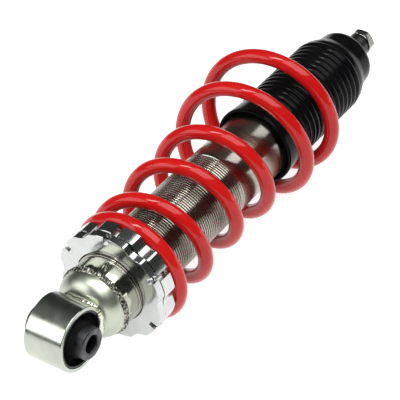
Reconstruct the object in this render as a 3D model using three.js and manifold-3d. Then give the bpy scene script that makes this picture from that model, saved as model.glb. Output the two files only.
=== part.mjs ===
// Threaded coilover rear shock absorber, lying along +X.
// Millimetres, +Z up. The origin is the centre of the lower eye's bore, +X runs along the
// damper towards the top nut, and the eye's bolt lies along Y.
import * as THREE from 'three';
import { mergeVertices } from 'three/addons/utils/BufferGeometryUtils.js';
import Module from 'manifold-3d';

const wasm = await Module();
wasm.setup();

// ---------- driving dimensions ----------
const GAP = 0.3;                 // clearance left between touching pieces

// Lower eye and its bush, turned about Y
const EYE_R = 22.1;
const EYE_WALL = 2.7;
const EYE_HALF = 14.3;
const SHELL_WALL = 1.2;
const SHELL_FROM = -13.9;        // the shell sits a little proud on the +Y side
const SHELL_TO = 15.8;
const SLEEVE_R = 10.9;
const SLEEVE_BORE_R = 6.05;      // M12 bolt
const SLEEVE_HALF = 22.3;
const SLEEVE_CHAMFER = 0.9;
const RUBBER_LIP_R = 12.6;       // the rubber tapers from here out to the shell
const RUBBER_FROM = -17;
const RUBBER_TO = 17.6;
const RUBBER_EDGE_FROM = -10.5;  // where it meets the shell
const RUBBER_EDGE_TO = 11.5;

// Pressed end cap
const CAP_CROWN_X = 19.5;
const CAP_R = 24.3;
const CAP_KNUCKLE = 12;
const CAP_WALL = 4;
const CAP_END_X = 33.4;
const EYE_BEAD_X = 18.7;
const EYE_BEAD_HALF_Z = 11.2;
const EYE_BEAD_R = 2.3;
const CAP_BEAD_HALF = 2.3;
const CAP_BEAD_CROWN = 1.3;

// Outer tube with its rolled thread
const TUBE_R = 24.6;
const TUBE_WALL = 2;
const TUBE_FROM = 33.8;
const TUBE_TO = 244;
const THREAD_R = 25;
const THREAD_FROM = 46;
const THREAD_TO = 166.9;

// The two notched rings on the thread
const RING_BORE_R = 25.4;
const RING_R = 39.6;             // at the lobes
const RING_LOBES = 6;
const SCALLOP_DEPTH = 2.4;
const NOTCH_WIDTH = 4.4;
const NOTCH_DEPTH = 5;
const NOTCH_START = 30.6;        // degrees from +Y towards +Z
const LOCK_FROM = 49.5;
const LOCK_TO = 55.2;
const SEAT_FROM = 55.7;
const SEAT_TO = 66.1;
const SEAT_TURNED = 3;           // degrees the upper ring stands round from the lower one
const SEAT_SPIGOT_R = 30.6;
const SEAT_SPIGOT_TO = 69.4;

// Coil spring
const WIRE_R = 5.1;
const COIL_R_LOW = 36.2;         // radius to the wire's centre
const COIL_R_END = 37.7;         // the same at the very first turn
const COIL_R_HIGH = 45.5;
const PITCH = 38.1;              // mm a turn between the closed ends
const COIL_FROM = -0.15;         // turns
const COIL_TO = 5.75;
const COIL_PHASE = 36.6;         // degrees from +Y towards +Z at turn 0
const RISE_IN = [0.12, 0.9];     // turns over which the pitch opens
const RISE_OUT = [5.08, 5.58];   // and closes again
const WIDEN = [3.1, 4.35];       // turns over which the coil widens
const LEAN_FROM = [-1.2, -0.9];  // the coil's centre in Y and Z at turn 0
const LEAN_PER_TURN = [1.53, 1.3];
const COIL_STEPS_PER_TURN = 14;
const WIRE_SIDES = 8;

// How finely round pieces are faceted
const ROUND = 32;
const SMALL_ROUND = 24;

// Damper's inside
const CYLINDER_R = 17.5;
const PISTON_BORE_R = 16;
const CYLINDER_FROM = 36;
const GUIDE_FROM = 228;
const GUIDE_TO = 238;
const SEAL_TO = 242.4;
const ROD_R = 6.2;
const SPIGOT_R = 4.5;            // the rod's lower, threaded end
const STUD_R = 5;                // the rod's upper end, M10
const ROD_FROM = 164.5;
const ROD_SHOULDER_LOW = 189.4;
const ROD_SHOULDER_HIGH = 334.2;
const ROD_TO = 361.2;
const ROD_BORE_R = ROD_R + GAP;
const STUD_BORE_R = STUD_R + GAP;
const SPIGOT_BORE_R = SPIGOT_R + GAP;
const PISTON_FROM = 176;
const PISTON_TO = 186;
const PISTON_NUT_FROM = 166.5;
const SHIM_RADII = [13, 11, 9];
const SHIM_THICKNESS = 0.85;
const BASE_VALVE_FROM = 24;
const BASE_VALVE_STEM_R = 9;
const BASE_VALVE_STEM_TO = 28;
const REBOUND_STOP_R = 9.5;
const REBOUND_STOP_LENGTH = 8;
const TOP_CAP_BORE_R = 7.2;

// Bump stop, carried inside the boot
const BUMP_STOP_FROM = 296;
const BUMP_STOP_TO = 331.6;
const BUMP_STOP_TIP_R = 13;
const BUMP_STOP_WAIST = [12.5, 308];  // radius and station
const BUMP_STOP_R = 18;
const BUMP_WASHER_R = 15;
const BUMP_WASHER_TO = 333.3;

// Dust boot
const BOOT_FROM = 216;
const BOOT_RIM_R = 28.9;
const BOOT_CUFF_R = 27.5;
const BOOT_BORE_R = 25.3;
const BOOT_CREST_R = 27.8;       // over the crests of the bellows
const BOOT_BELLOWS_FROM = 238;
const BOOT_BELLOWS_TO = 310;
const BOOT_SHOULDER = [25.2, 318];    // radius and station
const BOOT_NECK_R = 21.6;
const BOOT_NECK_FROM = 326;
const BOOT_TO = 336;
const BOOT_WALL = 1.8;
const BOOT_HOLE_R = 8.1;

// Top fastening
const SPACER_R = 7.7;
const SPACER_TO = 353.3;
const TOP_WASHER_R = 8.7;
const NUT_ACROSS_FLATS = 16;
const NUT_FROM = 354.9;
const NUT_TO = 359.9;

// ---------- materials ----------
function metal(colour, roughness) {
  return new THREE.MeshStandardMaterial({ color: colour, roughness, metalness: 1 });
}

function plain(colour, roughness) {
  return new THREE.MeshStandardMaterial({ color: colour, roughness, metalness: 0 });
}

const zinc = metal(0xb9bdb2, 0.28);
const weldMetal = metal(0x8f8c7e, 0.5);
const bareSteel = metal(0x9c9a96, 0.3);
const darkSteel = metal(0x3c3d40, 0.5);
const chrome = metal(0xd0d0d0, 0.12);
const aluminium = metal(0xd9dbdd, 0.3);
const blackRubber = plain(0x151516, 0.7);
const blackPlastic = plain(0x111112, 0.45);
const redPaint = plain(0xc8141a, 0.25);
const foam = plain(0xc9b48a, 0.85);

// ---------- helpers ----------
const shock = new THREE.Group();

function add(name, geometry, material) {
  const mesh = new THREE.Mesh(geometry, material);
  mesh.name = name;
  shock.add(mesh);
  return mesh;
}

function signedArea(points) {
  return points.reduce((sum, [x, y], i) => {
    const [nextX, nextY] = points[(i + 1) % points.length];
    return sum + x * nextY - nextX * y;
  }, 0) / 2;
}

// A closed profile of [radius, station] pairs, turned about Y
function turned(profile, segments) {
  const ordered = signedArea(profile) > 0 ? profile : [...profile].reverse();
  const points = [...ordered, ordered[0]].map(([r, station]) => new THREE.Vector2(r, station));
  return new THREE.LatheGeometry(points, segments);
}

// The same, turned about X
function turnedAboutX(profile, segments = ROUND) {
  return turned(profile, segments).rotateZ(-Math.PI / 2);
}

// A plain washer, bush or tube about X
function hollowRound(innerR, outerR, from, to, segments = ROUND) {
  return turnedAboutX([[innerR, from], [outerR, from], [outerR, to], [innerR, to]], segments);
}

// A flat shape given in Y and Z, extruded along X
function plate(shape, from, to) {
  const geometry = new THREE.ExtrudeGeometry(shape, {
    depth: to - from, bevelEnabled: false,
  });
  const axes = new THREE.Matrix4().makeBasis(
    new THREE.Vector3(0, 1, 0), new THREE.Vector3(0, 0, 1), new THREE.Vector3(1, 0, 0));
  return geometry.applyMatrix4(axes).translate(from, 0, 0);
}

// The corners of a regular polygon
function polygon(radius, sides) {
  return Array.from({ length: sides }, (_, i) => {
    const angle = 2 * Math.PI * i / sides;
    return new THREE.Vector2(radius * Math.cos(angle), radius * Math.sin(angle));
  });
}

function arcPoints(centreR, centreStation, radius, fromDegrees, toDegrees, steps) {
  return Array.from({ length: steps + 1 }, (_, i) => {
    const angle = THREE.MathUtils.degToRad(fromDegrees + (toDegrees - fromDegrees) * i / steps);
    return [centreR + radius * Math.cos(angle), centreStation + radius * Math.sin(angle)];
  });
}

function toSolid(geometry) {
  const bare = geometry.clone();
  bare.deleteAttribute('normal');
  bare.deleteAttribute('uv');
  const merged = mergeVertices(bare, 1e-4);
  return new wasm.Manifold(new wasm.Mesh({
    numProp: 3,
    vertProperties: new Float32Array(merged.attributes.position.array),
    triVerts: new Uint32Array(merged.index.array),
  }));
}

function toGeometry(solid) {
  const mesh = solid.getMesh();
  const geometry = new THREE.BufferGeometry();
  geometry.setAttribute('position', new THREE.BufferAttribute(mesh.vertProperties, 3));
  geometry.setIndex(new THREE.BufferAttribute(mesh.triVerts, 1));
  return geometry;
}

// ---------- lower eye and bush ----------
function buildEye() {
  const eyeBore = EYE_R - EYE_WALL;
  const shellR = eyeBore - GAP;
  const rubberR = shellR - SHELL_WALL - GAP;
  const rubberBore = SLEEVE_R + GAP;
  add('eye_ring', turned([
    [eyeBore, -EYE_HALF], [EYE_R - 0.6, -EYE_HALF], [EYE_R, -EYE_HALF + 0.6],
    [EYE_R, EYE_HALF - 0.6], [EYE_R - 0.6, EYE_HALF], [eyeBore, EYE_HALF],
  ], ROUND), zinc);
  add('bush_outer_shell', turned([
    [shellR - SHELL_WALL, SHELL_FROM], [shellR, SHELL_FROM],
    [shellR, SHELL_TO], [shellR - SHELL_WALL, SHELL_TO],
  ], ROUND), darkSteel);
  add('rubber_bush', turned([
    [rubberBore, RUBBER_FROM], [RUBBER_LIP_R, RUBBER_FROM], [rubberR, RUBBER_EDGE_FROM],
    [rubberR, RUBBER_EDGE_TO], [RUBBER_LIP_R, RUBBER_TO], [rubberBore, RUBBER_TO],
  ], SMALL_ROUND), blackRubber);
  add('bush_inner_sleeve', turned([
    [SLEEVE_BORE_R, -SLEEVE_HALF], [SLEEVE_R - SLEEVE_CHAMFER, -SLEEVE_HALF],
    [SLEEVE_R, -SLEEVE_HALF + SLEEVE_CHAMFER], [SLEEVE_R, SLEEVE_HALF - SLEEVE_CHAMFER],
    [SLEEVE_R - SLEEVE_CHAMFER, SLEEVE_HALF], [SLEEVE_BORE_R, SLEEVE_HALF],
  ], SMALL_ROUND), darkSteel);
}

// ---------- end cap and welds ----------
function capProfile(clearance) {
  const knuckleR = CAP_R - CAP_KNUCKLE;
  const knuckleX = CAP_CROWN_X + CAP_KNUCKLE;
  const outside = arcPoints(knuckleR, knuckleX, CAP_KNUCKLE + clearance, -90, 0, 6);
  const inside = arcPoints(knuckleR, knuckleX, CAP_KNUCKLE - CAP_WALL, 0, -90, 3);
  return [
    [0, CAP_CROWN_X - clearance], ...outside, [CAP_R + clearance, CAP_END_X],
    [CAP_R - CAP_WALL, CAP_END_X], ...inside, [0, CAP_CROWN_X + CAP_WALL],
  ];
}

// Room for something round that lies about Y
function roundCutter(radius, half) {
  return toSolid(new THREE.CylinderGeometry(radius, radius, 2 * half, 96));
}

// A bead around the eye's footprint on the crown: a ring whose path is a rounded rectangle
function beadRing(halfY, halfZ, station, radius) {
  const squareness = 0.45;
  const geometry = new THREE.TorusGeometry(1, 0.5, 6, ROUND);
  const position = geometry.attributes.position;
  for (let i = 0; i < position.count; i += 1) {
    const around = Math.atan2(position.getY(i), position.getX(i));
    const out = Math.hypot(position.getX(i), position.getY(i)) - 1;
    const c = Math.cos(around);
    const s = Math.sin(around);
    const y = Math.sign(c) * halfY * Math.abs(c) ** squareness;
    const z = Math.sign(s) * halfZ * Math.abs(s) ** squareness;
    const x = position.getZ(i) * 2 * radius;
    position.setXYZ(i, station + x, y + c * out * 2 * radius, z + s * out * 2 * radius);
  }
  return geometry;
}

function buildCap() {
  const eyeRoom = roundCutter(EYE_R + GAP, EYE_HALF + GAP);
  const solid = toSolid(turnedAboutX(capProfile(0)));
  add('end_cap', toGeometry(solid.subtract(eyeRoom)), zinc);

  const bead = toSolid(beadRing(EYE_HALF + 0.9, EYE_BEAD_HALF_Z, EYE_BEAD_X, EYE_BEAD_R));
  const shellRoom = roundCutter(EYE_R - EYE_WALL + GAP, 2 * EYE_HALF);
  const capRoom = toSolid(turnedAboutX(capProfile(GAP)));
  add('eye_weld', toGeometry(bead.subtract(eyeRoom).subtract(shellRoom).subtract(capRoom)), weldMetal);

  const weldX = (CAP_END_X + TUBE_FROM) / 2;
  const weldR = TUBE_R + GAP;
  add('cap_weld', turnedAboutX([
    [weldR, weldX - CAP_BEAD_HALF], [weldR + 0.9, weldX - 1.4], [weldR + CAP_BEAD_CROWN, weldX],
    [weldR + 0.9, weldX + 1.4], [weldR, weldX + CAP_BEAD_HALF],
  ]), weldMetal);
}

// ---------- outer tube and what closes it ----------
function buildTube() {
  const bore = TUBE_R - TUBE_WALL;
  add('damper_tube', turnedAboutX([
    [bore, TUBE_FROM], [TUBE_R, TUBE_FROM], [TUBE_R, THREAD_FROM - 0.4],
    [THREAD_R, THREAD_FROM], [THREAD_R, THREAD_TO - 0.4], [TUBE_R, THREAD_TO],
    [TUBE_R, TUBE_TO], [bore, TUBE_TO],
  ]), chrome);
  const fitR = bore - GAP;
  add('rod_guide', hollowRound(ROD_BORE_R, fitR, GUIDE_FROM, GUIDE_TO), bareSteel);
  add('oil_seal', hollowRound(ROD_BORE_R, fitR, GUIDE_TO + GAP, SEAL_TO), blackRubber);
  add('tube_top_cap', turnedAboutX([
    [TOP_CAP_BORE_R, SEAL_TO + GAP], [fitR, SEAL_TO + GAP], [fitR, TUBE_TO + GAP],
    [TUBE_R - 0.3, TUBE_TO + GAP], [TUBE_R - 0.3, TUBE_TO + 1.8],
    [TUBE_R - 1.2, TUBE_TO + 2.7], [TOP_CAP_BORE_R, TUBE_TO + 2.7],
  ]), zinc);
}

// ---------- pressure cylinder, base valve and piston ----------
function buildInside() {
  const cylinderTo = GUIDE_FROM - GAP;
  add('inner_cylinder', hollowRound(PISTON_BORE_R, CYLINDER_R, CYLINDER_FROM, cylinderTo), bareSteel);
  add('base_valve', turnedAboutX([
    [0, BASE_VALVE_FROM], [BASE_VALVE_STEM_R, BASE_VALVE_FROM],
    [BASE_VALVE_STEM_R, BASE_VALVE_STEM_TO], [CYLINDER_R - 0.4, BASE_VALVE_STEM_TO],
    [CYLINDER_R - 0.4, CYLINDER_FROM - GAP], [0, CYLINDER_FROM - GAP],
  ], SMALL_ROUND), bareSteel);

  const ringGroove = [PISTON_FROM + 2, PISTON_TO - 2];
  const pistonR = PISTON_BORE_R - 0.4;
  const grooveR = pistonR - 1.3;
  add('piston', turnedAboutX([
    [SPIGOT_BORE_R, PISTON_FROM], [pistonR, PISTON_FROM], [pistonR, ringGroove[0]],
    [grooveR, ringGroove[0]], [grooveR, ringGroove[1]], [pistonR, ringGroove[1]],
    [pistonR, PISTON_TO], [SPIGOT_BORE_R, PISTON_TO],
  ]), bareSteel);
  add('piston_ring', hollowRound(grooveR + GAP, PISTON_BORE_R - GAP,
    ringGroove[0] + GAP, ringGroove[1] - GAP), blackPlastic);
  add('rebound_shims', shimStack(PISTON_FROM - GAP, -1), bareSteel);
  add('compression_shims', shimStack(PISTON_TO + GAP, 1), bareSteel);
  add('piston_nut', hexNut(13, SPIGOT_BORE_R, PISTON_NUT_FROM, PISTON_FROM - 3.2), darkSteel);
  const stopTo = GUIDE_FROM - GAP;
  add('rebound_stop', hollowRound(ROD_BORE_R, REBOUND_STOP_R,
    stopTo - REBOUND_STOP_LENGTH, stopTo, SMALL_ROUND), blackRubber);
}

// Three valve discs pressed together, each smaller than the one nearer the piston
function shimStack(face, direction) {
  const steps = SHIM_RADII.flatMap((r, i) => [
    [r, face + direction * SHIM_THICKNESS * i],
    [r, face + direction * SHIM_THICKNESS * (i + 1)],
  ]);
  const last = face + direction * SHIM_THICKNESS * SHIM_RADII.length;
  return turnedAboutX([[SPIGOT_BORE_R, face], ...steps, [SPIGOT_BORE_R, last]], SMALL_ROUND);
}

function hexNut(acrossFlats, boreR, from, to) {
  const shape = new THREE.Shape(polygon(acrossFlats / 2 / Math.cos(Math.PI / 6), 6));
  shape.holes.push(new THREE.Path(polygon(boreR, SMALL_ROUND)));
  return plate(shape, from, to);
}

// ---------- rod, bump stop and top fastening ----------
function buildRod() {
  add('piston_rod', turnedAboutX([
    [0, ROD_FROM], [SPIGOT_R - 0.5, ROD_FROM], [SPIGOT_R, ROD_FROM + 0.5],
    [SPIGOT_R, ROD_SHOULDER_LOW], [ROD_R, ROD_SHOULDER_LOW],
    [ROD_R, ROD_SHOULDER_HIGH], [STUD_R, ROD_SHOULDER_HIGH],
    [STUD_R, ROD_TO - 0.8], [STUD_R - 0.8, ROD_TO], [0, ROD_TO],
  ], SMALL_ROUND), chrome);
  add('bump_stop', turnedAboutX([
    [ROD_BORE_R, BUMP_STOP_FROM], [BUMP_STOP_TIP_R, BUMP_STOP_FROM],
    [BUMP_STOP_TIP_R + 2.5, BUMP_STOP_FROM + 3], [BUMP_STOP_TIP_R + 2.5, BUMP_STOP_FROM + 8],
    BUMP_STOP_WAIST, [BUMP_STOP_R - 1.5, BUMP_STOP_WAIST[1] + 4],
    [BUMP_STOP_R, BUMP_STOP_WAIST[1] + 8], [BUMP_STOP_R, BUMP_STOP_TO], [ROD_BORE_R, BUMP_STOP_TO],
  ], SMALL_ROUND), foam);
  add('bump_stop_washer', hollowRound(ROD_BORE_R, BUMP_WASHER_R,
    BUMP_STOP_TO + GAP, BUMP_WASHER_TO, SMALL_ROUND), zinc);
  add('rod_spacer', hollowRound(STUD_BORE_R, SPACER_R,
    ROD_SHOULDER_HIGH + GAP, SPACER_TO, SMALL_ROUND), darkSteel);
  add('top_washer', hollowRound(STUD_BORE_R, TOP_WASHER_R,
    SPACER_TO + GAP, NUT_FROM - GAP, SMALL_ROUND), zinc);
  add('top_nut', hexNut(NUT_ACROSS_FLATS, STUD_BORE_R, NUT_FROM, NUT_TO), zinc);
}

function buildBoot() {
  const outside = [
    [BOOT_RIM_R - 0.6, BOOT_FROM], [BOOT_RIM_R, BOOT_FROM + 0.8],
    [BOOT_CUFF_R, BOOT_BELLOWS_FROM], [BOOT_CREST_R, BOOT_BELLOWS_FROM + 2],
    [BOOT_CREST_R, BOOT_BELLOWS_TO],
    BOOT_SHOULDER, [BOOT_NECK_R + 0.6, BOOT_NECK_FROM], [BOOT_NECK_R, 331],
    [BOOT_NECK_R - 2.2, BOOT_TO - 1.2], [BOOT_NECK_R - 5, BOOT_TO], [BOOT_HOLE_R, BOOT_TO],
  ];
  const inside = [
    [BOOT_HOLE_R, BOOT_TO - BOOT_WALL], [BOOT_NECK_R - 4.2, BOOT_TO - BOOT_WALL],
    [BOOT_NECK_R - BOOT_WALL, 330], [BOOT_NECK_R - BOOT_WALL, BOOT_NECK_FROM],
    [BOOT_SHOULDER[0] - BOOT_WALL, BOOT_SHOULDER[1] - 1],
    [BOOT_BORE_R, BOOT_BELLOWS_TO], [BOOT_BORE_R, BOOT_FROM + 8],
    [BOOT_RIM_R - 1.9, BOOT_FROM + 1],
  ];
  add('dust_boot', turnedAboutX([...outside, ...inside]), blackPlastic);
}

// ---------- the notched rings ----------
// Outline with wide lobes, a shallow scallop between them and a spanner slot in each lobe
function ringShape() {
  const shape = new THREE.Shape();
  const lobe = 2 * Math.PI / RING_LOBES;
  const slotHalf = NOTCH_WIDTH / 2 / RING_R;
  const scallopHalf = 0.17 * lobe;
  const slotFloor = RING_R - NOTCH_DEPTH;
  const corners = [];
  for (let i = 0; i < RING_LOBES; i += 1) {
    const middle = THREE.MathUtils.degToRad(NOTCH_START) + i * lobe;
    corners.push(
      [RING_R, middle - slotHalf], [slotFloor, middle - slotHalf],
      [slotFloor, middle + slotHalf], [RING_R, middle + slotHalf],
      [RING_R, middle + lobe * 0.18], [RING_R, middle + lobe / 2 - scallopHalf]);
    for (let k = 1; k < 6; k += 1) {
      const across = -1 + k / 3;
      const dip = SCALLOP_DEPTH * Math.cos(across * Math.PI / 2);
      corners.push([RING_R - dip, middle + lobe / 2 + across * scallopHalf]);
    }
    corners.push([RING_R, middle + lobe / 2 + scallopHalf], [RING_R, middle + lobe * 0.82]);
  }
  shape.setFromPoints(corners.map(([r, angle]) => (
    new THREE.Vector2(r * Math.cos(angle), r * Math.sin(angle)))));
  shape.holes.push(new THREE.Path(polygon(RING_BORE_R, ROUND)));
  return shape;
}

function buildRings() {
  const ringOutline = ringShape();
  add('lock_ring', plate(ringOutline, LOCK_FROM, LOCK_TO), aluminium);
  const seatPlate = plate(ringOutline, SEAT_FROM, SEAT_TO);
  const seatDisc = toSolid(seatPlate.rotateX(THREE.MathUtils.degToRad(SEAT_TURNED)));
  const spigot = toSolid(hollowRound(RING_BORE_R, SEAT_SPIGOT_R, SEAT_TO - 2, SEAT_SPIGOT_TO));
  add('spring_seat', toGeometry(seatDisc.add(spigot)), aluminium);
}

// ---------- coil spring ----------
// Area under a smoothstep that opens between the two given turns
function risen(turn, [open, full]) {
  const width = full - open;
  const u = THREE.MathUtils.clamp((turn - open) / width, 0, 1);
  return width * (u ** 3 - u ** 4 / 2) + Math.max(turn - full, 0);
}

class SpringCurve extends THREE.Curve {
  getPoint(fraction) {
    const turn = COIL_FROM + (COIL_TO - COIL_FROM) * fraction;
    const angle = 2 * Math.PI * turn + THREE.MathUtils.degToRad(COIL_PHASE);
    const widened = THREE.MathUtils.smoothstep(turn, ...WIDEN);
    const tight = 1 - THREE.MathUtils.smoothstep(turn, 0, 1);
    const radius = COIL_R_LOW + (COIL_R_HIGH - COIL_R_LOW) * widened
      + (COIL_R_END - COIL_R_LOW) * tight;
    return new THREE.Vector3(
      SEAT_TO + GAP + WIRE_R + PITCH * (risen(turn, RISE_IN) - risen(turn, RISE_OUT)),
      LEAN_FROM[0] + LEAN_PER_TURN[0] * turn + radius * Math.cos(angle),
      LEAN_FROM[1] + LEAN_PER_TURN[1] * turn + radius * Math.sin(angle));
  }
}

function buildSpring() {
  const section = new THREE.Shape(polygon(WIRE_R, WIRE_SIDES));
  add('coil_spring', new THREE.ExtrudeGeometry(section, {
    steps: Math.round((COIL_TO - COIL_FROM) * COIL_STEPS_PER_TURN),
    extrudePath: new SpringCurve(),
  }), redPaint);
}

buildEye();
buildCap();
buildTube();
buildInside();
buildRod();
buildBoot();
buildRings();
buildSpring();

export default shock;
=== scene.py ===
"""Visual model of a threaded coilover rear shock absorber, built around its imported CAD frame.

Lengths are in millimetres up to the helpers, which turn them into Blender's metres. The frame is
the CAD's: the origin is the lower eye's centre, +X runs along the damper and +Z is up.
"""

import math

import bmesh
import bpy
from mathutils import Matrix, Vector, noise


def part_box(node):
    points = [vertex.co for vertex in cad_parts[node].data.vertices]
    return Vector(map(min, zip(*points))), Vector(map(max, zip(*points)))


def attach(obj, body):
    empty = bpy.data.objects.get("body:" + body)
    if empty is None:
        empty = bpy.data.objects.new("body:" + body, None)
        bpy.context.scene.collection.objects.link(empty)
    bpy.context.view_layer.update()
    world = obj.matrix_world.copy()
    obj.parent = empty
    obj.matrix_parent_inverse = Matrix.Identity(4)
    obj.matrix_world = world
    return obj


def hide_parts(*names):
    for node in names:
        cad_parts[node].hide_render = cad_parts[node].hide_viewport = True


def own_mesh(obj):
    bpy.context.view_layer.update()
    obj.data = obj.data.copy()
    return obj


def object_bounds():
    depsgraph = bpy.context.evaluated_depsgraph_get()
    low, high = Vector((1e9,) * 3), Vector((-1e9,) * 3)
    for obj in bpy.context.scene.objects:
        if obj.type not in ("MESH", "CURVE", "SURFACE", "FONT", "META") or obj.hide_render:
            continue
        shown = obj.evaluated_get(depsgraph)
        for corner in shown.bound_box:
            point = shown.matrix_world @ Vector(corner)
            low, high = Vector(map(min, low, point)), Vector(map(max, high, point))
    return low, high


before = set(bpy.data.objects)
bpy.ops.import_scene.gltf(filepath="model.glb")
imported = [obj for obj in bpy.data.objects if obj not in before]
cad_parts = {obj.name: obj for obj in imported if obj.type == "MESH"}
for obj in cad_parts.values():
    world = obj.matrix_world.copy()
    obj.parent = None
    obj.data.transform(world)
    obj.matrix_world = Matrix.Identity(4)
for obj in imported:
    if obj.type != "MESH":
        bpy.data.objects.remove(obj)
CAD_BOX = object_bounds()

MM = 0.001
TURN = 2 * math.pi


# ---------------------------------------------------------------- sizes from the CAD frame
def low(node, axis=0):
    """The lowest coordinate of a CAD node along an axis, in millimetres."""
    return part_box(node)[0][axis] / MM


def high(node, axis=0):
    """The highest coordinate of a CAD node along an axis, in millimetres."""
    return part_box(node)[1][axis] / MM


EYE_R = high("eye_ring")
EYE_HALF = high("eye_ring", 1)
SHELL_R = high("bush_outer_shell")
SHELL_Y = (low("bush_outer_shell", 1), high("bush_outer_shell", 1))
SLEEVE_R = high("bush_inner_sleeve")
SLEEVE_HALF = high("bush_inner_sleeve", 1)
SLEEVE_BORE_R = 6.05
CAP_X = (19.5, high("end_cap"))     # crown and rim
TUBE_X = (low("damper_tube"), high("damper_tube"))
TUBE_R = 24.6
THREAD_X = (46.0, 166.9)
THREAD_CREST_R = 25.0
THREAD_ROOT_R = 24.1
THREAD_PITCH = 2.0
LOCK_X = (low("lock_ring"), high("lock_ring"))
SEAT_X = (low("spring_seat"), 66.1)
SPIGOT_X = high("spring_seat")
RING_BORE_R = 25.4
RING_R = 39.6
BOOT_X = (low("dust_boot"), high("dust_boot"))
SPACER_X = (low("rod_spacer"), high("rod_spacer"))
WASHER_X = (low("top_washer"), high("top_washer"))
NUT_X = (low("top_nut"), high("top_nut"))
ROD_X = (low("piston_rod"), high("piston_rod"))
STUD_HOLE_R = 5.3                   # in the spacer and the washer
SPACER_R = 7.7
WASHER_R = 8.7
NUT_HALF_FLATS = 8.0


# ---------------------------------------------------------------- mesh helpers
def smoothstep(value, start, end):
    u = min(max((value - start) / (end - start), 0.0), 1.0)
    return u * u * (3 - 2 * u)


def finish_mesh(name, vertices, faces, material, sharp_degrees=38):
    """Makes an object in metres from millimetre vertices, with outward faces and soft shading."""
    mesh = bpy.data.meshes.new(name)
    work = bmesh.new()
    made = [work.verts.new(Vector(v) * MM) for v in vertices]
    for face in faces:
        work.faces.new([made[i] for i in face])
    bmesh.ops.recalc_face_normals(work, faces=work.faces)
    for face in work.faces:
        face.smooth = True
    for edge in work.edges:
        if len(edge.link_faces) == 2 and edge.calc_face_angle() > math.radians(sharp_degrees):
            edge.smooth = False
    work.to_mesh(mesh)
    work.free()
    piece = bpy.data.objects.new(name, mesh)
    bpy.context.scene.collection.objects.link(piece)
    mesh.materials.append(material)
    return piece


def joined_rows(count, sides, closed):
    """Quads between rows of equal length, where the last row may join the first."""
    faces = []
    for i in range(count if closed else count - 1):
        j = (i + 1) % count
        for k in range(sides):
            n = (k + 1) % sides
            faces.append([i * sides + k, i * sides + n, j * sides + n, j * sides + k])
    return faces


def hollow(span, bore_r, outer_r):
    """The closed outline of a plain sleeve."""
    return [(span[0], bore_r), (span[0], outer_r), (span[1], outer_r), (span[1], bore_r)]


def rounded(profile, radii):
    """Replaces each corner of a closed [station, radius] outline by a curve of the given size."""
    if not isinstance(radii, (list, tuple)):
        radii = [radii] * len(profile)
    result = []
    steps = 4
    largest_share = 0.45            # of the shorter side, so that two curves never meet
    for i, (corner, size) in enumerate(zip(profile, radii)):
        here = Vector(corner)
        before = Vector(profile[i - 1]) - here
        after = Vector(profile[(i + 1) % len(profile)]) - here
        reach = min(size, largest_share * before.length, largest_share * after.length)
        start = here + before.normalized() * reach
        end = here + after.normalized() * reach
        for k in range(steps + 1):
            t = k / steps
            result.append(tuple(start * (1 - t) ** 2 + here * 2 * t * (1 - t) + end * t * t))
    return result


def lathe(profile, about="X", segments=96, closed=True, shape=None):
    """Vertices and faces of an outline of [station, radius] turned about X or Y.

    shape(station, radius, angle) may return another (station, radius). An open outline has both
    its ends on the axis.
    """
    rows = len(profile)
    vertices, index = [], []
    for station, radius in profile:
        on_axis = not closed and radius < 1e-6
        row = []
        for k in range(1 if on_axis else segments):
            angle = TURN * k / segments
            s, r = (station, radius) if shape is None or on_axis else shape(station, radius, angle)
            a, b = r * math.cos(angle), r * math.sin(angle)
            row.append(len(vertices))
            vertices.append((s, a, b) if about == "X" else (b, s, a))
        index.append(row)
    faces = []
    for i in range(rows if closed else rows - 1):
        here, there = index[i], index[(i + 1) % rows]
        for k in range(segments):
            n = (k + 1) % segments
            quad = [here[k % len(here)], here[n % len(here)], there[n % len(there)], there[k % len(there)]]
            corners = list(dict.fromkeys(quad))
            if len(corners) > 2:
                faces.append(corners)
    return vertices, faces


def turned(name, profile, material, sharp=38, **how):
    """A piece with a turned outline; lathe() says how."""
    return finish_mesh(name, *lathe(profile, **how), material, sharp)


def swept(name, path, radius_at, material, sides=16, closed=False, sharp=38):
    """A round tube along path points, whose radius may change along it and around it."""
    count = len(path)
    points = [Vector(p) for p in path]
    tangents = []
    for i in range(count):
        ahead = points[(i + 1) % count] if closed or i < count - 1 else points[i]
        behind = points[i - 1] if closed or i > 0 else points[i]
        tangents.append((ahead - behind).normalized())
    normal = tangents[0].orthogonal().normalized()
    vertices = []
    for i, (point, tangent) in enumerate(zip(points, tangents)):
        normal = (normal - tangent * normal.dot(tangent)).normalized()
        side = tangent.cross(normal)
        for k in range(sides):
            angle = TURN * k / sides
            r = radius_at(i, angle)
            vertices.append(point + (normal * math.cos(angle) + side * math.sin(angle)) * r)
    faces = joined_rows(count, sides, closed)
    if not closed:
        faces.append(list(range(sides)))
        faces.append(list(range((count - 1) * sides, count * sides)))
    return finish_mesh(name, vertices, faces, material, sharp)


def cut_away(piece, cutter):
    """Cuts the cutter's volume out of a piece and removes the cutter."""
    step = piece.modifiers.new("cut", "BOOLEAN")
    step.operation = "DIFFERENCE"
    step.solver = "EXACT"
    step.object = cutter
    bpy.context.view_layer.update()
    evaluated = piece.evaluated_get(bpy.context.evaluated_depsgraph_get())
    mesh = bpy.data.meshes.new_from_object(evaluated)
    piece.modifiers.clear()
    piece.data = mesh
    bpy.data.objects.remove(cutter)
    return piece


def place(piece, body, slot, *nodes):
    """A finished piece rides on its body and stands for its CAD nodes; its slot is not used."""
    # Large faces keep their own shading; the coil has none
    if body != "spring":
        even = piece.modifiers.new("even_shading", "WEIGHTED_NORMAL")
        even.keep_sharp = True
        even.weight = 100
    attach(piece, body)
    if nodes:
        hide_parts(*nodes)
    return piece


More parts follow.
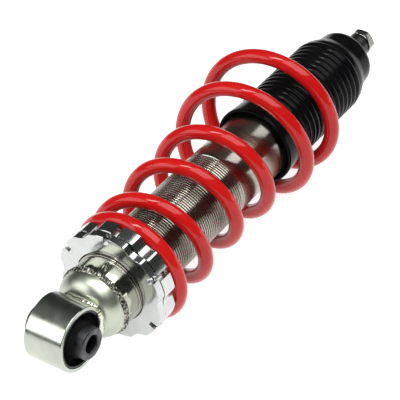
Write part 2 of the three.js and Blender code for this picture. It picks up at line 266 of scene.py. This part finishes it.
# ---------------------------------------------------------------- materials
NOISE_SPAN = (0.3, 0.7)             # where most values of a noise texture lie


def fill_ramp(ramp, stops):
    """Sets a colour ramp's stops from (position, colour) pairs."""
    elements = ramp.color_ramp.elements
    while len(elements) < len(stops):
        elements.new(0.5)
    for element, (position, colour) in zip(elements, stops):
        element.position = position
        element.color = (*colour, 1)


class Shader:
    """A small builder for one node-based material on object coordinates in metres."""

    def __init__(self, name, **sockets):
        self.material = bpy.data.materials.new(name)
        self.material.use_nodes = True
        self.tree = self.material.node_tree
        self.bsdf = self.tree.nodes["Principled BSDF"]
        for socket, value in sockets.items():
            self.bsdf.inputs[socket.replace("_", " ")].default_value = value
        self.coordinates = self.tree.nodes.new("ShaderNodeTexCoord").outputs["Object"]

    def node(self, kind, **settings):
        made = self.tree.nodes.new(kind)
        for key, value in settings.items():
            setattr(made, key, value)
        return made

    def link(self, source, target):
        self.tree.links.new(source, target)

    def stretched(self, scale):
        mapping = self.node("ShaderNodeMapping")
        mapping.inputs["Scale"].default_value = scale
        self.link(self.coordinates, mapping.inputs["Vector"])
        return mapping.outputs["Vector"]

    def noise(self, scale, detail=4.0, roughness=0.55, stretch=(1, 1, 1)):
        made = self.node("ShaderNodeTexNoise")
        made.inputs["Scale"].default_value = scale
        made.inputs["Detail"].default_value = detail
        made.inputs["Roughness"].default_value = roughness
        self.link(self.stretched(stretch), made.inputs["Vector"])
        return made.outputs["Fac"]

    def ramp(self, source, stops):
        made = self.node("ShaderNodeValToRGB")
        fill_ramp(made, stops)
        self.link(source, made.inputs["Fac"])
        return made.outputs["Color"]

    def map_range(self, source, start, end, lowest=0.0, highest=1.0):
        made = self.node("ShaderNodeMapRange")
        made.inputs["From Min"].default_value = start
        made.inputs["From Max"].default_value = end
        made.inputs["To Min"].default_value = lowest
        made.inputs["To Max"].default_value = highest
        self.link(source, made.inputs["Value"])
        return made.outputs["Result"]

    def along_x(self, start, end):
        """Rises from 0 to 1 between two stations in millimetres."""
        split = self.node("ShaderNodeSeparateXYZ")
        self.link(self.coordinates, split.inputs[0])
        return self.map_range(split.outputs["X"], start * MM, end * MM)

    def blend(self, factor, plain, source, target):
        """Links a socket to a mix that goes from a plain value to a source of the same kind."""
        is_colour = source.type == "RGBA"
        made = self.node("ShaderNodeMix", data_type="RGBA" if is_colour else "FLOAT")
        plain_input, source_input, output = (6, 7, 2) if is_colour else (2, 3, 0)
        made.inputs[plain_input].default_value = plain
        self.link(factor, made.inputs[0])
        self.link(source, made.inputs[source_input])
        self.link(made.outputs[output], self.bsdf.inputs[target])

    def colour(self, source, stops):
        self.link(self.ramp(source, stops), self.bsdf.inputs["Base Color"])

    def rough(self, source, lowest, highest):
        """Links the roughness to a noise source, and returns the output that carries it."""
        level = self.map_range(source, *NOISE_SPAN, lowest, highest)
        self.link(level, self.bsdf.inputs["Roughness"])
        return level

    def bump(self, *layers):
        """Layers of (height source, depth in millimetres), laid one on another."""
        normal = None
        for source, depth in layers:
            made = self.node("ShaderNodeBump")
            made.inputs["Strength"].default_value = 1.0
            made.inputs["Distance"].default_value = depth * MM
            self.link(source, made.inputs["Height"])
            if normal is not None:
                self.link(normal, made.inputs["Normal"])
            normal = made.outputs["Normal"]
        self.link(normal, self.bsdf.inputs["Normal"])


def zinc_plate(name="zinc_plate", tint=(0.46, 0.49, 0.43), rough=(0.16, 0.25), grain=0.012):
    """Bright zinc with cloudy passivation, fine grain and a yellow-green cast."""
    shader = Shader(name, Metallic=1.0)
    clouds = shader.noise(55, detail=5)
    shader.colour(clouds, [
        (0.3, tuple(c * 0.86 for c in tint)),
        (0.55, tint),
        (0.75, (min(tint[0] * 1.16, 1), min(tint[1] * 1.13, 1), tint[2] * 1.02)),
    ])
    shader.rough(shader.noise(140, detail=6), *rough)
    shader.bump(
        (shader.noise(35, detail=2), 0.05),
        (shader.noise(1500, detail=4), grain),
        (shader.noise(900, detail=3, stretch=(30, 30, 30)), 0.004),
    )
    return shader.material


def weld_metal():
    """A plated weld bead: bright ripples with dark scale in the hollows."""
    shader = Shader("weld_metal", Metallic=1.0)
    specks = shader.noise(620, detail=6, roughness=0.7)
    shader.colour(specks, [
        (0.42, (0.012, 0.012, 0.011)),
        (0.5, (0.12, 0.12, 0.10)),
        (0.6, (0.62, 0.62, 0.54)),
    ])
    shader.rough(shader.noise(400, detail=4), 0.2, 0.55)
    shader.bump((shader.noise(700, detail=5, roughness=0.65), 0.25))
    return shader.material


def polished_tube():
    """Tube polished round its axis, so that reflections smear along it. Below the thread it is
    smoother."""
    shader = Shader("polished_tube", Metallic=1.0, Anisotropic=0.75, Anisotropic_Rotation=0.25)
    tangent = shader.node("ShaderNodeTangent", direction_type="RADIAL", axis="X")
    shader.link(tangent.outputs["Tangent"], shader.bsdf.inputs["Tangent"])
    above = shader.along_x(THREAD_X[0] - 2, THREAD_X[0] + 1)
    steel = shader.ramp(shader.noise(40, detail=3), [
        (0.3, (0.33, 0.325, 0.28)),
        (0.7, (0.41, 0.40, 0.35)),
    ])
    shader.blend(above, (0.42, 0.43, 0.36, 1), steel, "Base Color")
    brushed = shader.rough(shader.noise(60, detail=5, stretch=(8, 1, 1)), 0.16, 0.24)
    shader.blend(above, 0.07, brushed, "Roughness")
    shader.bump((shader.noise(260, detail=3, stretch=(12, 1, 1)), 0.0008))
    return shader.material


def machined_steel():
    """Plain machined steel for the parts inside."""
    shader = Shader("machined_steel", Metallic=1.0)
    shader.colour(shader.noise(70, detail=4), [
        (0.3, (0.4592, 0.451, 0.4346)),
        (0.7, (0.56, 0.55, 0.53)),
    ])
    shader.rough(shader.noise(200, detail=5, stretch=(6, 1, 1)), 0.25, 0.42)
    shader.bump((shader.noise(700, detail=3, stretch=(10, 1, 1)), 0.006))
    return shader.material


def ring_aluminium():
    """Tumbled and lightly turned aluminium alloy."""
    shader = Shader("ring_aluminium", Metallic=1.0)
    shader.colour(shader.noise(50, detail=5), [
        (0.3, (0.50, 0.51, 0.50)),
        (0.7, (0.60, 0.61, 0.60)),
    ])
    shader.rough(shader.noise(160, detail=5), 0.12, 0.2)
    shader.bump((shader.noise(1100, detail=3), 0.0006))
    return shader.material


def red_powder_coat():
    """Gloss powder coat with a fine orange peel and slightly darker pools."""
    shader = Shader("red_powder_coat", Metallic=0.0, Specular_IOR_Level=0.05, Coat_Weight=1.0,
                    Coat_Roughness=0.05, Coat_IOR=1.36)
    shader.colour(shader.noise(18, detail=3), [
        (0.3, (0.43, 0.005, 0.005)),
        (0.7, (0.50, 0.008, 0.007)),
    ])
    shader.rough(shader.noise(120, detail=3), 0.3, 0.4)
    shader.bump((shader.noise(420, detail=2, roughness=0.4), 0.002))
    return shader.material


def black_moulding():
    """Satin black thermoplastic, a little dusty on its crests."""
    shader = Shader("black_moulding", Metallic=0.0, Specular_IOR_Level=0.5, IOR=1.16)
    shader.colour(shader.noise(90, detail=5), [
        (0.35, (0.0025, 0.0025, 0.003)),
        (0.75, (0.006, 0.006, 0.0065)),
    ])
    shader.rough(shader.noise(240, detail=5), 0.12, 0.2)
    shader.bump((shader.noise(1400, detail=3), 0.004))
    return shader.material


def black_rubber():
    """Matte bush rubber with a grainy bloom."""
    shader = Shader("black_rubber", Metallic=0.0, Specular_IOR_Level=0.3, IOR=1.1)
    shader.colour(shader.noise(150, detail=6), [
        (0.35, (0.006, 0.006, 0.0065)),
        (0.8, (0.016, 0.016, 0.017)),
    ])
    shader.rough(shader.noise(300, detail=5), 0.55, 0.8)
    shader.bump((shader.noise(900, detail=4), 0.04))
    return shader.material


def dark_steel():
    """Phosphated steel: dark grey, dull, with rubbed lighter spots."""
    shader = Shader("dark_steel", Metallic=1.0)
    shader.colour(shader.noise(120, detail=6), [
        (0.35, (0.04, 0.041, 0.044)),
        (0.62, (0.088, 0.088, 0.092)),
        (0.85, (0.19, 0.19, 0.19)),
    ])
    shader.rough(shader.noise(260, detail=5), 0.34, 0.52)
    shader.bump((shader.noise(800, detail=4), 0.02))
    return shader.material


def stop_foam():
    """Microcellular foam of the bump stop."""
    shader = Shader("stop_foam", Metallic=0.0)
    shader.colour(shader.noise(200, detail=5), [
        (0.35, (0.42, 0.33, 0.19)),
        (0.7, (0.58, 0.47, 0.29)),
    ])
    shader.rough(shader.noise(300), 0.75, 0.95)
    shader.bump((shader.noise(900, detail=4), 0.08))
    return shader.material


ZINC = zinc_plate()
CAP_ZINC = zinc_plate("cap_zinc", tint=(0.47, 0.50, 0.42), rough=(0.3, 0.42), grain=0.007)
WELD_BRIGHT = zinc_plate("weld_bright", tint=(0.66, 0.66, 0.56), rough=(0.14, 0.36), grain=0.007)
NUT_ZINC = zinc_plate("nut_zinc", tint=(0.44, 0.44, 0.42), rough=(0.2, 0.3), grain=0.001)
WELD = weld_metal()
TUBE = polished_tube()
STEEL = machined_steel()
RING = ring_aluminium()
RED = red_powder_coat()
BOOT = black_moulding()
RUBBER = black_rubber()
DARK = dark_steel()
FOAM = stop_foam()


# ---------------------------------------------------------------- lower eye and bush
def build_eye():
    bore = SHELL_R + 0.25
    ring = hollow((-EYE_HALF, EYE_HALF), bore, EYE_R)
    place(turned("eye_tube", rounded(ring, [0.4, 0.9, 0.9, 0.4]), ZINC, about="Y", segments=160),
          "damper_body", "zinc", "eye_ring")

    shell_bore = SHELL_R - 1.2
    shell = hollow(SHELL_Y, shell_bore, SHELL_R)
    place(turned("bush_shell", rounded(shell, 0.3), DARK, about="Y", segments=160),
          "damper_body", "dark_steel", "bush_outer_shell")

    # The rubber is bonded to the sleeve: it climbs a cone round it and dips into a groove
    rubber_r = shell_bore - 0.1
    sleeve_grip = SLEEVE_R + 0.1
    outline = []
    for side in (-1, 1):
        half = [
            (side * 16.2, sleeve_grip), (side * 15.4, sleeve_grip + 0.9), (side * 12.6, sleeve_grip + 1.7),
            (side * 9.4, sleeve_grip + 2.6), (side * 8.4, 15.2), (side * 9.2, rubber_r - 0.9),
            (side * 12.2, rubber_r),
        ]
        outline += half if side < 0 else half[::-1]
    place(turned("bush_rubber", rounded(outline, 1.1), RUBBER, about="Y", segments=128),
          "damper_body", "bush_rubber", "rubber_bush")

    sleeve = [
        (-SLEEVE_HALF, SLEEVE_BORE_R + 0.7), (-SLEEVE_HALF, SLEEVE_R - 0.8), (-SLEEVE_HALF + 0.8, SLEEVE_R),
        (SLEEVE_HALF - 0.8, SLEEVE_R), (SLEEVE_HALF, SLEEVE_R - 0.8), (SLEEVE_HALF, SLEEVE_BORE_R + 0.7),
        (SLEEVE_HALF - 0.7, SLEEVE_BORE_R), (-SLEEVE_HALF + 0.7, SLEEVE_BORE_R),
    ]
    place(turned("bush_sleeve_tube", rounded(sleeve, 0.35), DARK, about="Y", segments=96),
          "bush_sleeve", "dark_steel", "bush_inner_sleeve")


# ---------------------------------------------------------------- end cap and welds
def cap_outline():
    """The pressed dome: flat crown, knuckle and a short straight skirt, with its inside."""
    knuckle, radius, wall = 12.0, 24.3, 4.0
    centre_x, centre_r = CAP_X[0] + knuckle, radius - knuckle
    outside = [(CAP_X[0], 0.0)]
    inside = []
    for k in range(17):
        angle = math.radians(90 * k / 16)
        outside.append((centre_x - knuckle * math.cos(angle), centre_r + knuckle * math.sin(angle)))
        inner = knuckle - wall
        inside.append((centre_x - inner * math.cos(angle), centre_r + inner * math.sin(angle)))
    into_weld = 0.2
    outside.append((CAP_X[1] + into_weld, radius))
    inside.append((CAP_X[1] + into_weld, radius - wall))
    return outside + inside[::-1] + [(CAP_X[0] + wall, 0.0)]


def build_cap():
    dome = turned("domed_cap", cap_outline(), CAP_ZINC, segments=128, closed=False, sharp=50)
    gap = 0.05
    reach = EYE_HALF + gap
    room = [(-reach, 0.0), (-reach, EYE_R + gap), (reach, EYE_R + gap), (reach, 0.0)]
    cutter = turned("eye_room", room, CAP_ZINC, about="Y", segments=160, closed=False)
    cut_away(dome, cutter)
    place(dome, "damper_body", "zinc", "end_cap")


def build_eye_bead():
    """The eye's bead follows a rounded rectangle on the crown, laid in overlapping drops."""
    steps, squareness = 150, 0.5
    half_width, half_height = EYE_HALF + 0.4, 11.6
    path = []
    for k in range(steps):
        angle = TURN * k / steps
        c, s = math.cos(angle), math.sin(angle)
        y = math.copysign(abs(c) ** squareness, c) * half_width
        z = math.copysign(abs(s) ** squareness, s) * half_height
        path.append((CAP_X[0] - 0.4 + 0.5 * noise.noise(Vector((y, z, 3)) * 0.2), y, z))

    def drops(i, angle):
        drop_count, bead_r = 17, 2.0
        ripple = 0.28 * abs(math.sin(TURN * i / steps * drop_count))
        around = Vector((math.cos(angle), math.sin(angle), 0))
        lump = 0.5 * noise.noise(Vector(path[i]) * 0.35 + around * 0.5)
        return bead_r + ripple + lump

    place(swept("eye_bead", path, drops, WELD_BRIGHT, sides=14, closed=True, sharp=60),
          "damper_body", "weld", "eye_weld")


def build_cap_bead():
    """The bead between cap and tube: half an ellipse in section, with ripples round the joint."""
    middle = (CAP_X[1] + TUBE_X[0]) / 2
    half_width, height, foot_r = 2.4, 1.6, TUBE_R - 0.5
    ripple_count, slant = 41, 0.55
    steps = 12
    outline = []
    for k in range(steps + 1):
        angle = math.pi * k / steps
        outline.append((middle - half_width * math.cos(angle), foot_r + height * math.sin(angle)))

    def ripples(station, radius, angle):
        proud = max(radius - foot_r, 0)
        chevron = abs(math.sin(angle * ripple_count + (station - middle) * slant))
        rough = noise.noise(Vector((station * 0.9, math.cos(angle) * 20, math.sin(angle) * 20)))
        return station + 0.5 * rough * proud, radius - proud * 0.34 * chevron + 0.5 * proud * rough

    place(turned("cap_bead", outline, WELD, segments=420, shape=ripples, sharp=70),
          "damper_body", "weld", "cap_weld")


# ---------------------------------------------------------------- outer tube with its thread
def tube_profile():
    """The plain tube as [station, radius], with a sunk stretch that carries the thread."""
    bore = TUBE_R - 2
    return [
        (TUBE_X[0], bore), (TUBE_X[0], TUBE_R - 0.4), (TUBE_X[0] + 0.4, TUBE_R),
        (THREAD_X[0] - 0.4, TUBE_R), (THREAD_X[0], THREAD_ROOT_R),
        (THREAD_X[1], THREAD_ROOT_R), (THREAD_X[1] + 0.4, TUBE_R),
        (TUBE_X[1] - 1.0, TUBE_R), (TUBE_X[1], TUBE_R - 0.6), (TUBE_X[1], bore),
    ]


def add_thread(vertices, faces):
    """Adds the rolled thread: one ridge with a rounded top that winds along the sunk stretch."""
    steps_per_turn = 112
    half = [(0.0, 1.0), (0.25, 0.985), (0.45, 0.93), (0.58, 0.8), (0.8, 0.0)]
    section = [(-offset, share) for offset, share in half[:0:-1]] + half
    margin = half[-1][0]
    length = THREAD_X[1] - THREAD_X[0] - 2 * margin
    steps = round(length / THREAD_PITCH * steps_per_turn)
    sunk = 0.1
    first = len(vertices)
    for k in range(steps + 1):
        angle = TURN * k / steps_per_turn
        station = THREAD_X[0] + margin + length * k / steps
        from_end = min(k, steps - k) / steps_per_turn
        height = (THREAD_CREST_R - THREAD_ROOT_R + sunk) * smoothstep(from_end, 0.0, 0.5)
        for offset, share in section:
            r = THREAD_ROOT_R - sunk + height * share
            vertices.append((station + offset, r * math.cos(angle), r * math.sin(angle)))
    corners = len(section)
    for face in joined_rows(steps + 1, corners, closed=False):
        faces.append([first + v for v in face])
    faces.append([first + c for c in range(corners)])
    faces.append([first + steps * corners + c for c in range(corners)])


def build_tube():
    vertices, faces = lathe(tube_profile(), segments=128)
    add_thread(vertices, faces)
    place(finish_mesh("threaded_tube", vertices, faces, TUBE, sharp_degrees=45),
          "damper_body", "chrome_tube", "damper_tube")


# ---------------------------------------------------------------- notched rings
LOBES = 6
NOTCH_DEGREES = 30.6
SEAT_TURNED = math.radians(3)
NOTCH_HALF = 2.2
NOTCH_DEPTH = 5.0
SCALLOP_DEPTH = 2.4
SCALLOP_SHARE = 0.17                # half a scallop's width, as a share of a lobe
SPIGOT_R = 30.6


def ring_angles():
    """Angles round a ring, with a close pair at each wall of each spanner notch."""
    lobe = TURN / LOBES
    half = NOTCH_HALF / RING_R
    wall = 0.0012
    plain = 40
    angles = []
    for i in range(LOBES):
        middle = math.radians(NOTCH_DEGREES) + i * lobe
        angles += [middle - half - wall, middle - half, middle, middle + half, middle + half + wall]
        for k in range(1, plain):
            angles.append(middle + half + wall + (lobe - 2 * (half + wall)) * k / plain)
    return sorted(a % TURN for a in angles)


def rim_radius(angle):
    """Radius of the rim: wide lobes, shallow scallops between, a slot in each lobe."""
    lobe = TURN / LOBES
    offset = (angle - math.radians(NOTCH_DEGREES) + lobe / 2) % lobe - lobe / 2
    if abs(offset) <= NOTCH_HALF / RING_R + 1e-6:
        return RING_R - NOTCH_DEPTH
    from_valley = abs(abs(offset) - lobe / 2)
    scallop_half = SCALLOP_SHARE * lobe
    if from_valley < scallop_half:
        return RING_R - SCALLOP_DEPTH * math.cos(from_valley / scallop_half * math.pi / 2)
    return RING_R


def notched_ring(name, from_x, to_x, spigot=None, turned_by=0.0):
    bevel = 0.5
    angles = ring_angles()
    rows = [
        (from_x + bevel, lambda a: RING_BORE_R), (from_x, lambda a: RING_BORE_R + bevel),
        (from_x, lambda a: 30.0), (from_x, lambda a: rim_radius(a) - 1.4 * bevel),
        (from_x + 0.25 * bevel, lambda a: rim_radius(a) - 0.6 * bevel), (from_x + bevel, rim_radius),
        (to_x - bevel, rim_radius), (to_x - 0.25 * bevel, lambda a: rim_radius(a) - 0.6 * bevel),
        (to_x, lambda a: rim_radius(a) - 1.4 * bevel),
    ]
    if spigot:
        rows += [(to_x, lambda a: spigot[0]), (spigot[1] - bevel, lambda a: spigot[0]),
                 (spigot[1], lambda a: spigot[0] - bevel), (spigot[1], lambda a: RING_BORE_R + bevel),
                 (spigot[1] - bevel, lambda a: RING_BORE_R)]
    else:
        rows += [(to_x, lambda a: RING_BORE_R + bevel), (to_x - bevel, lambda a: RING_BORE_R)]
    vertices = []
    for station, radius_at in rows:
        for angle in angles:
            r = radius_at(angle)
            at = angle + turned_by
            vertices.append((station, r * math.cos(at), r * math.sin(at)))
    faces = joined_rows(len(rows), len(angles), closed=True)
    return finish_mesh(name, vertices, faces, RING, sharp_degrees=28)


def build_rings():
    place(notched_ring("lower_lock_ring", *LOCK_X), "lock", "ring_aluminium", "lock_ring")
    place(notched_ring("upper_spring_seat", *SEAT_X, spigot=(SPIGOT_R, SPIGOT_X), turned_by=SEAT_TURNED),
          "seat", "ring_aluminium", "spring_seat")


# ---------------------------------------------------------------- coil spring
WIRE_R = 5.1
COIL_R = {"end": 37.7, "low": 36.2, "high": 45.5}
PITCH = 38.1
COIL_TURNS = (-0.15, 5.75)
COIL_PHASE = math.radians(36.6)
RISE_IN, RISE_OUT, WIDEN = (0.12, 0.9), (5.08, 5.58), (3.1, 4.35)
LEAN_FROM, LEAN_PER_TURN = (-1.2, -0.9), (1.53, 1.3)


def risen(turn, span):
    """Area under a smoothstep that opens over a span of turns."""
    width = span[1] - span[0]
    u = min(max((turn - span[0]) / width, 0.0), 1.0)
    return width * (u ** 3 - u ** 4 / 2) + max(turn - span[1], 0.0)


def coil_point(turn):
    angle = TURN * turn + COIL_PHASE
    radius = (COIL_R["low"] + (COIL_R["high"] - COIL_R["low"]) * smoothstep(turn, *WIDEN)
              + (COIL_R["end"] - COIL_R["low"]) * (1 - smoothstep(turn, 0, 1)))
    return (
        SEAT_X[1] + 0.2 + WIRE_R + PITCH * (risen(turn, RISE_IN) - risen(turn, RISE_OUT)),
        LEAN_FROM[0] + LEAN_PER_TURN[0] * turn + radius * math.cos(angle),
        LEAN_FROM[1] + LEAN_PER_TURN[1] * turn + radius * math.sin(angle),
    )


def build_spring():
    steps = 660
    span = COIL_TURNS[1] - COIL_TURNS[0]
    path = [coil_point(COIL_TURNS[0] + span * k / steps) for k in range(steps + 1)]
    edge_steps, edge_depth = 6, 0.7

    def wire(i, angle):
        from_end = min(i, steps - i)
        return WIRE_R - edge_depth * max(1 - from_end / edge_steps, 0.0) ** 2

    spring = place(swept("spring_coil", path, wire, RED, sides=32), "spring", "red_paint", "coil_spring")
    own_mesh(spring)


# ---------------------------------------------------------------- dust boot
def boot_outline():
    """Lip, cuff, round lobes that meet in sharp valleys, shoulder and neck, then the inside."""
    outside = [(BOOT_X[0] + 0.3, 27.4), (BOOT_X[0], 28.1), (BOOT_X[0] + 0.5, 28.8), (BOOT_X[0] + 2.2, 28.9),
               (BOOT_X[0] + 6, 28.5), (BOOT_X[0] + 16, 27.7)]
    start, pitch, rings = BOOT_X[0] + 21.2, 5.22, 14
    crest_r, lobe_r, lobe_steps = 27.78, 3.9, 10
    half_angle = math.asin(pitch / 2 / lobe_r)
    for i in range(rings):
        for k in range(lobe_steps):
            angle = half_angle * (2 * k / lobe_steps - 1)
            outside.append((start + (i + 0.5) * pitch + lobe_r * math.sin(angle),
                            crest_r - lobe_r * (1 - math.cos(angle))))
    top = start + rings * pitch
    outside += [(top, 26.8), (top + 3.2, 26.6), (top + 5.2, 25.4), (top + 7.2, 24.9), (top + 9.7, 23.3),
                (top + 13.2, 22.4), (top + 20.2, 21.6), (BOOT_X[1] - 3.2, 21.2), (BOOT_X[1] - 1.2, 20.1),
                (BOOT_X[1] - 0.2, 17.8), (BOOT_X[1], 15.7), (BOOT_X[1], 9.0), (BOOT_X[1] - 0.4, 8.2)]
    inside = [(BOOT_X[1] - 1.6, 8.2), (BOOT_X[1] - 2, 9.2), (BOOT_X[1] - 2, 17.0), (330, 19.6), (326, 20.4),
              (317, 23.2), (311, 25.2), (BOOT_X[0] + 9, 25.3), (BOOT_X[0] + 4, 26.0), (BOOT_X[0] + 1, 26.9)]
    return outside + inside


def build_boot():
    place(turned("dust_boot_moulding", boot_outline(), BOOT, segments=128, sharp=60),
          "boot", "black_plastic", "dust_boot")


# ---------------------------------------------------------------- rod and top fastening
def build_spacer_and_washer():
    spacer = hollow(SPACER_X, STUD_HOLE_R, SPACER_R)
    place(turned("spacer_sleeve", rounded(spacer, [0.2, 0.6, 0.9, 0.2]), DARK, segments=64),
          "rod", "dark_steel", "rod_spacer")

    washer = hollow(WASHER_X, STUD_HOLE_R, WASHER_R)
    place(turned("stud_washer", rounded(washer, [0.1, 0.3, 0.3, 0.1]), NUT_ZINC, segments=64),
          "rod", "zinc", "top_washer")


def build_nut():
    """A hexagon whose corners are cut back by a cone at both faces."""
    chamfer_slope = math.tan(math.radians(60))
    face_r = NUT_HALF_FLATS * 0.97
    bore_r, crest_r, chamfer = 5.2, 5.6, 0.5
    near_face = (0.1, 0.25, 0.45, 0.7, 1.0)

    def hexagon(station, radius, angle):
        if radius <= crest_r:
            return station, radius
        across = angle % (math.pi / 3) - math.pi / 6
        flat = NUT_HALF_FLATS / math.cos(across)
        depth = min(station - NUT_X[0], NUT_X[1] - station)
        return station, min(flat, face_r + depth * chamfer_slope)

    outline = [(NUT_X[0], crest_r), (NUT_X[0], face_r)]
    outline += [(NUT_X[0] + depth, NUT_HALF_FLATS) for depth in near_face]
    outline += [(NUT_X[1] - depth, NUT_HALF_FLATS) for depth in reversed(near_face)]
    outline += [(NUT_X[1], face_r), (NUT_X[1], crest_r)]
    outline += [(NUT_X[1] - chamfer, bore_r), (NUT_X[0] + chamfer, bore_r)]
    place(turned("hex_nut", outline, NUT_ZINC, segments=144, shape=hexagon, sharp=25),
          "rod", "zinc", "top_nut")


def build_rod():
    """The rod keeps its CAD outline, and its stud gets a real M10 thread."""
    pitch, per_pitch = 1.5, 8
    root_r, spigot_r, rod_r, bevel = 4.4, 4.5, 6.2, 0.3
    stud = (NUT_X[0] - 2, ROD_X[1] - 1)
    count = round((stud[1] - stud[0]) / pitch * per_pitch)
    low_shoulder, high_shoulder = 189.4, SPACER_X[0] - 0.3
    rod = [
        (ROD_X[0], 0.0), (ROD_X[0], spigot_r - 0.5), (ROD_X[0] + 0.5, spigot_r), (low_shoulder, spigot_r),
        (low_shoulder, rod_r - bevel), (low_shoulder + bevel, rod_r), (high_shoulder - bevel, rod_r),
        (high_shoulder, rod_r - bevel), (high_shoulder, 4.9),
    ]
    rod += [(stud[0] + (stud[1] - stud[0]) * k / count, root_r) for k in range(count + 1)]
    rod += [(ROD_X[1], 3.6), (ROD_X[1], 0.0)]

    def stud_thread(station, radius, angle):
        if radius != root_r:
            return station, radius
        phase = (station / pitch - angle / TURN) % 1.0
        return station, radius + 0.6 * min(max(abs(phase - 0.5) * 2.6 - 0.3, 0.0), 1.0)

    place(turned("rod_with_stud", rod, TUBE, segments=48, closed=False, shape=stud_thread, sharp=50),
          "rod", "chrome_tube", "piston_rod")


# ---------------------------------------------------------------- CAD nodes that stay
def paint_cad_nodes():
    paints = {
        STEEL: ("inner_cylinder", "base_valve", "rod_guide",
                "piston", "compression_shims", "rebound_shims"),
        RUBBER: ("oil_seal", "rebound_stop"),
        ZINC: ("tube_top_cap", "bump_stop_washer"),
        BOOT: ("piston_ring",),
        DARK: ("piston_nut",),
        FOAM: ("bump_stop",),
    }
    for material, nodes in paints.items():
        for node in nodes:
            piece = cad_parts[node]
            piece.data.materials.clear()
            piece.data.materials.append(material)


build_eye()
build_cap()
build_eye_bead()
build_cap_bead()
build_tube()
build_rings()
build_spring()
build_boot()
build_spacer_and_washer()
build_nut()
build_rod()
paint_cad_nodes()


# ---------------------------------------------------------------- camera, floor and light
CAMERA_AT = (-831.6, -737.3, 992.4)
CAMERA_RIGHT = (0.5611, -0.8257, -0.0578)
CAMERA_BACK = (-0.6220, -0.4667, 0.6287)    # from the object towards the camera


def add_camera():
    """A long lens looking up the damper from its lower eye."""
    data = bpy.data.cameras.new("camera")
    data.sensor_width = 36
    data.lens = 215.4
    data.clip_end = 20
    right = Vector(CAMERA_RIGHT).normalized()
    back = Vector(CAMERA_BACK).normalized()
    up = back.cross(right).normalized()
    turn = Matrix((right, up, back)).transposed().to_4x4()
    camera = bpy.data.objects.new("camera", data)
    camera.matrix_world = Matrix.Translation(Vector(CAMERA_AT) * MM) @ turn
    bpy.context.scene.collection.objects.link(camera)
    bpy.context.scene.camera = camera


def add_floor():
    shader = Shader("floor_white", Roughness=0.9, Specular_IOR_Level=0.1, Emission_Strength=0.86)
    shader.bsdf.inputs["Emission Color"].default_value = (1, 1, 1, 1)
    shader.colour(shader.noise(3, detail=2), [(0.3, (0.42, 0.42, 0.42)), (0.7, (0.44, 0.44, 0.44))])
    half = 6.0
    z = CAD_BOX[0][2] - 0.0005
    mesh = bpy.data.meshes.new("floor")
    corners = [(-half, -half, z), (half, -half, z), (half, half, z), (-half, half, z)]
    mesh.from_pydata(corners, [], [(0, 1, 2, 3)])
    mesh.materials.append(shader.material)
    floor = bpy.data.objects.new("floor", mesh)
    bpy.context.scene.collection.objects.link(floor)


def add_softbox(name, place_at, aim, size, power):
    data = bpy.data.lights.new(name, "AREA")
    data.shape = "RECTANGLE"
    data.size, data.size_y = size
    data.energy = power
    light = bpy.data.objects.new(name, data)
    light.location = place_at
    light.rotation_euler = (Vector(aim) - Vector(place_at)).to_track_quat("-Z", "Y").to_euler()
    light.visible_glossy = not name.endswith("_fill")
    bpy.context.scene.collection.objects.link(light)


def add_world():
    """A dim studio above the pale floor, so that polished metal keeps its contrast."""
    world = bpy.data.worlds.new("studio")
    bpy.context.scene.world = world
    world.use_nodes = True
    tree = world.node_tree
    coordinates = tree.nodes.new("ShaderNodeTexCoord").outputs["Generated"]
    split = tree.nodes.new("ShaderNodeSeparateXYZ")
    tree.links.new(coordinates, split.inputs[0])
    ramp = tree.nodes.new("ShaderNodeValToRGB")
    greys = [(0.0, 0.1), (0.05, 0.08), (0.2, 0.05), (0.7, 0.05), (0.9, 0.14), (1.0, 0.18)]
    fill_ramp(ramp, [(height, (grey * 0.92, grey, grey * 0.94)) for height, grey in greys])
    tree.links.new(split.outputs["Z"], ramp.inputs["Fac"])
    background = tree.nodes["Background"]
    tree.links.new(ramp.outputs["Color"], background.inputs["Color"])
    background.inputs["Strength"].default_value = 1.0


def add_lights():
    """Softboxes as (name, direction from the object's middle, distance, size, radiance). One
    whose name ends in _fill brightens the object but doesn't show in its polished faces."""
    middle = Vector(((CAD_BOX[0][0] + CAD_BOX[1][0]) / 2, 0, 0))
    softboxes = [
        ("tube_strip", (0.0, -0.36, 0.93), 1.4, (2.32, 0.85), 3.4),
        ("eye_band", (-0.737, 0.501, 0.453), 1.4, (0.9, 0.85), 3.0),
        ("coil_streak", (-0.25, 0.1, 0.96), 1.4, (0.2, 0.9), 14.0),
        ("camera_fill", (-0.7, -0.45, 0.75), 1.5, (0.4, 0.4), 4.0),
        ("right", (0.62, -0.78, 0.06), 1.4, (0.6, 0.15), 2.0),
        ("back_fill", (0.9, 0.6, 0.5), 1.5, (0.4, 0.4), 2.0),
    ]
    for name, direction, distance, size, radiance in softboxes:
        power = radiance * math.pi * size[0] * size[1]
        add_softbox(name, middle + Vector(direction).normalized() * distance, middle, size, power)


bpy.context.scene.view_settings.view_transform = "Standard"
add_camera()
add_floor()
add_world()
add_lights()
